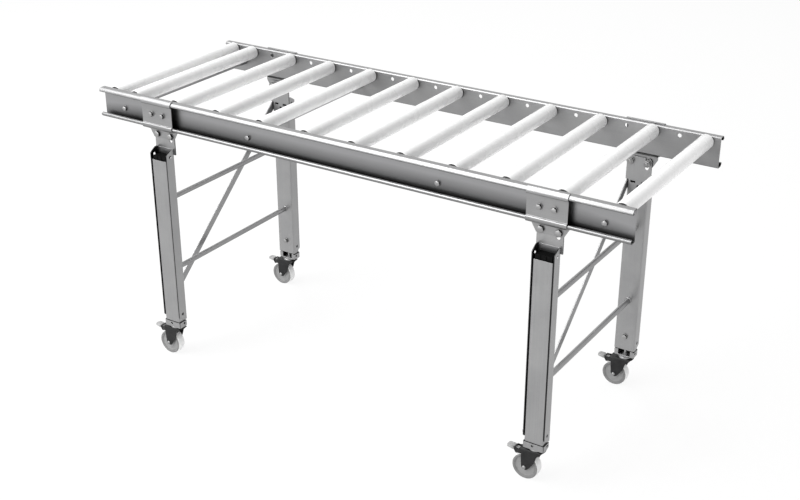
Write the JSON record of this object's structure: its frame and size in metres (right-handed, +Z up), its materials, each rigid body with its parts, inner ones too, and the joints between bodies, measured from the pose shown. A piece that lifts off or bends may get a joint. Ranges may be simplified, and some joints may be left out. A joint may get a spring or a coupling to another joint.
{
  "type": "roller stand",
  "caption": "Gravity roller table: free-turning rollers between two folded rails, on tilting leg frames with telescopic channel legs and braked swivel castors.",
  "frame": {"origin": "on the floor under the middle of the roller table, at the lowest line of the castor wheels", "axes": "+X along the rails, +Y across them from the front rail to the rear rail, +Z up"},
  "size_m": [1.65, 0.6032, 0.819],
  "materials": {
    "zinc_steel": "zinc plated, satin",
    "axle_steel": "bright drawn",
    "roller_tube": "white, satin",
    "fork_sheet": "dark, satin",
    "wheel_rubber": "grey, matt",
    "pedal_plastic": "grey, matt"
  },
  "bodies": {
    "deck": {"rail_front": "zinc_steel", "rail_rear": "zinc_steel", "cross_tie_1": "zinc_steel", "cross_tie_2": "zinc_steel", "cross_tie_3": "zinc_steel", "cross_tie_4": "zinc_steel", "rail_clip_left_front": "zinc_steel", "rail_clip_left_rear": "zinc_steel", "rail_clip_right_front": "zinc_steel", "rail_clip_right_rear": "zinc_steel", "axle_01": "axle_steel", "axle_02": "axle_steel", "axle_03": "axle_steel", "axle_04": "axle_steel", "axle_05": "axle_steel", "axle_06": "axle_steel", "axle_07": "axle_steel", "axle_08": "axle_steel", "axle_09": "axle_steel", "axle_10": "axle_steel", "axle_11": "axle_steel", "axle_12": "axle_steel"},
    "roller_body_01": {"roller_01": "roller_tube"},
    "roller_body_02": {"roller_02": "roller_tube"},
    "roller_body_03": {"roller_03": "roller_tube"},
    "roller_body_04": {"roller_04": "roller_tube"},
    "roller_body_05": {"roller_05": "roller_tube"},
    "roller_body_06": {"roller_06": "roller_tube"},
    "roller_body_07": {"roller_07": "roller_tube"},
    "roller_body_08": {"roller_08": "roller_tube"},
    "roller_body_09": {"roller_09": "roller_tube"},
    "roller_body_10": {"roller_10": "roller_tube"},
    "roller_body_11": {"roller_11": "roller_tube"},
    "roller_body_12": {"roller_12": "roller_tube"},
    "leg_frame_left": {"outer_leg_left_front": "zinc_steel", "outer_leg_left_rear": "zinc_steel", "cross_tube_left_low": "zinc_steel", "cross_tube_left_high": "zinc_steel", "diagonal_brace_left": "zinc_steel"},
    "leg_frame_right": {"outer_leg_right_front": "zinc_steel", "outer_leg_right_rear": "zinc_steel", "cross_tube_right_low": "zinc_steel", "cross_tube_right_high": "zinc_steel", "diagonal_brace_right": "zinc_steel"},
    "extension_left_front": {"inner_leg_left_front": "zinc_steel"},
    "extension_left_rear": {"inner_leg_left_rear": "zinc_steel"},
    "extension_right_front": {"inner_leg_right_front": "zinc_steel"},
    "extension_right_rear": {"inner_leg_right_rear": "zinc_steel"},
    "swivel_left_front": {"castor_fork_left_front": "fork_sheet"},
    "swivel_left_rear": {"castor_fork_left_rear": "fork_sheet"},
    "swivel_right_front": {"castor_fork_right_front": "fork_sheet"},
    "swivel_right_rear": {"castor_fork_right_rear": "fork_sheet"},
    "wheel_left_front": {"castor_wheel_left_front": "wheel_rubber"},
    "wheel_left_rear": {"castor_wheel_left_rear": "wheel_rubber"},
    "wheel_right_front": {"castor_wheel_right_front": "wheel_rubber"},
    "wheel_right_rear": {"castor_wheel_right_rear": "wheel_rubber"},
    "pedal_left_front": {"brake_pedal_left_front": "pedal_plastic"},
    "pedal_left_rear": {"brake_pedal_left_rear": "pedal_plastic"},
    "pedal_right_front": {"brake_pedal_right_front": "pedal_plastic"},
    "pedal_right_rear": {"brake_pedal_right_rear": "pedal_plastic"}
  },
  "joints": [
    {"name": "roller_spin_01", "type": "hinge", "parent": "deck", "child": "roller_body_01", "pos_m": [-0.7875, 0, 0.799], "axis": [0, 1, 0], "continuous": true},
    {"name": "roller_spin_02", "type": "hinge", "parent": "deck", "child": "roller_body_02", "pos_m": [-0.7125, 0, 0.799], "axis": [0, 1, 0], "continuous": true},
    {"name": "roller_spin_03", "type": "hinge", "parent": "deck", "child": "roller_body_03", "pos_m": [-0.5625, 0, 0.799], "axis": [0, 1, 0], "continuous": true},
    {"name": "roller_spin_04", "type": "hinge", "parent": "deck", "child": "roller_body_04", "pos_m": [-0.4125, 0, 0.799], "axis": [0, 1, 0], "continuous": true},
    {"name": "roller_spin_05", "type": "hinge", "parent": "deck", "child": "roller_body_05", "pos_m": [-0.2625, 0, 0.799], "axis": [0, 1, 0], "continuous": true},
    {"name": "roller_spin_06", "type": "hinge", "parent": "deck", "child": "roller_body_06", "pos_m": [-0.1125, 0, 0.799], "axis": [0, 1, 0], "continuous": true},
    {"name": "roller_spin_07", "type": "hinge", "parent": "deck", "child": "roller_body_07", "pos_m": [0.0375, 0, 0.799], "axis": [0, 1, 0], "continuous": true},
    {"name": "roller_spin_08", "type": "hinge", "parent": "deck", "child": "roller_body_08", "pos_m": [0.1875, 0, 0.799], "axis": [0, 1, 0], "continuous": true},
    {"name": "roller_spin_09", "type": "hinge", "parent": "deck", "child": "roller_body_09", "pos_m": [0.3375, 0, 0.799], "axis": [0, 1, 0], "continuous": true},
    {"name": "roller_spin_10", "type": "hinge", "parent": "deck", "child": "roller_body_10", "pos_m": [0.4875, 0, 0.799], "axis": [0, 1, 0], "continuous": true},
    {"name": "roller_spin_11", "type": "hinge", "parent": "deck", "child": "roller_body_11", "pos_m": [0.6375, 0, 0.799], "axis": [0, 1, 0], "continuous": true},
    {"name": "roller_spin_12", "type": "hinge", "parent": "deck", "child": "roller_body_12", "pos_m": [0.7875, 0, 0.799], "axis": [0, 1, 0], "continuous": true},
    {"name": "leg_tilt_left", "type": "hinge", "parent": "deck", "child": "leg_frame_left", "pos_m": [-0.634, 0, 0.7055], "axis": [0, 1, 0], "range_deg": [-15, 15]},
    {"name": "leg_tilt_right", "type": "hinge", "parent": "deck", "child": "leg_frame_right", "pos_m": [0.586, 0, 0.7055], "axis": [0, 1, 0], "range_deg": [-15, 15]},
    {"name": "leg_slide_left_front", "type": "slide", "parent": "leg_frame_left", "child": "extension_left_front", "axis": [0, 0, 1], "range_m": [-0.25, 0.002]},
    {"name": "leg_slide_left_rear", "type": "slide", "parent": "leg_frame_left", "child": "extension_left_rear", "axis": [0, 0, 1], "range_m": [-0.25, 0.002]},
    {"name": "leg_slide_right_front", "type": "slide", "parent": "leg_frame_right", "child": "extension_right_front", "axis": [0, 0, 1], "range_m": [-0.25, 0.002]},
    {"name": "leg_slide_right_rear", "type": "slide", "parent": "leg_frame_right", "child": "extension_right_rear", "axis": [0, 0, 1], "range_m": [-0.25, 0.002]},
    {"name": "castor_swivel_left_front", "type": "hinge", "parent": "extension_left_front", "child": "swivel_left_front", "pos_m": [-0.61, -0.28035, 0.093], "axis": [0, 0, 1], "continuous": true},
    {"name": "castor_swivel_left_rear", "type": "hinge", "parent": "extension_left_rear", "child": "swivel_left_rear", "pos_m": [-0.61, 0.28035, 0.093], "axis": [0, 0, 1], "continuous": true},
    {"name": "castor_swivel_right_front", "type": "hinge", "parent": "extension_right_front", "child": "swivel_right_front", "pos_m": [0.61, -0.28035, 0.093], "axis": [0, 0, 1], "continuous": true},
    {"name": "castor_swivel_right_rear", "type": "hinge", "parent": "extension_right_rear", "child": "swivel_right_rear", "pos_m": [0.61, 0.28035, 0.093], "axis": [0, 0, 1], "continuous": true},
    {"name": "wheel_spin_left_front", "type": "hinge", "parent": "swivel_left_front", "child": "wheel_left_front", "pos_m": [-0.6345, -0.28035, 0.0375], "axis": [0, 1, 0], "continuous": true},
    {"name": "wheel_spin_left_rear", "type": "hinge", "parent": "swivel_left_rear", "child": "wheel_left_rear", "pos_m": [-0.6345, 0.28035, 0.0375], "axis": [0, 1, 0], "continuous": true},
    {"name": "wheel_spin_right_front", "type": "hinge", "parent": "swivel_right_front", "child": "wheel_right_front", "pos_m": [0.5855, -0.28035, 0.0375], "axis": [0, 1, 0], "continuous": true},
    {"name": "wheel_spin_right_rear", "type": "hinge", "parent": "swivel_right_rear", "child": "wheel_right_rear", "pos_m": [0.5855, 0.28035, 0.0375], "axis": [0, 1, 0], "continuous": true},
    {"name": "pedal_press_left_front", "type": "hinge", "parent": "swivel_left_front", "child": "pedal_left_front", "pos_m": [-0.66, -0.28035, 0.081], "axis": [0, -1, 0], "range_deg": [0, 12]},
    {"name": "pedal_press_left_rear", "type": "hinge", "parent": "swivel_left_rear", "child": "pedal_left_rear", "pos_m": [-0.66, 0.28035, 0.081], "axis": [0, -1, 0], "range_deg": [0, 12]},
    {"name": "pedal_press_right_front", "type": "hinge", "parent": "swivel_right_front", "child": "pedal_right_front", "pos_m": [0.56, -0.28035, 0.081], "axis": [0, -1, 0], "range_deg": [0, 12]},
    {"name": "pedal_press_right_rear", "type": "hinge", "parent": "swivel_right_rear", "child": "pedal_right_rear", "pos_m": [0.56, 0.28035, 0.081], "axis": [0, -1, 0], "range_deg": [0, 12]}
  ]
}
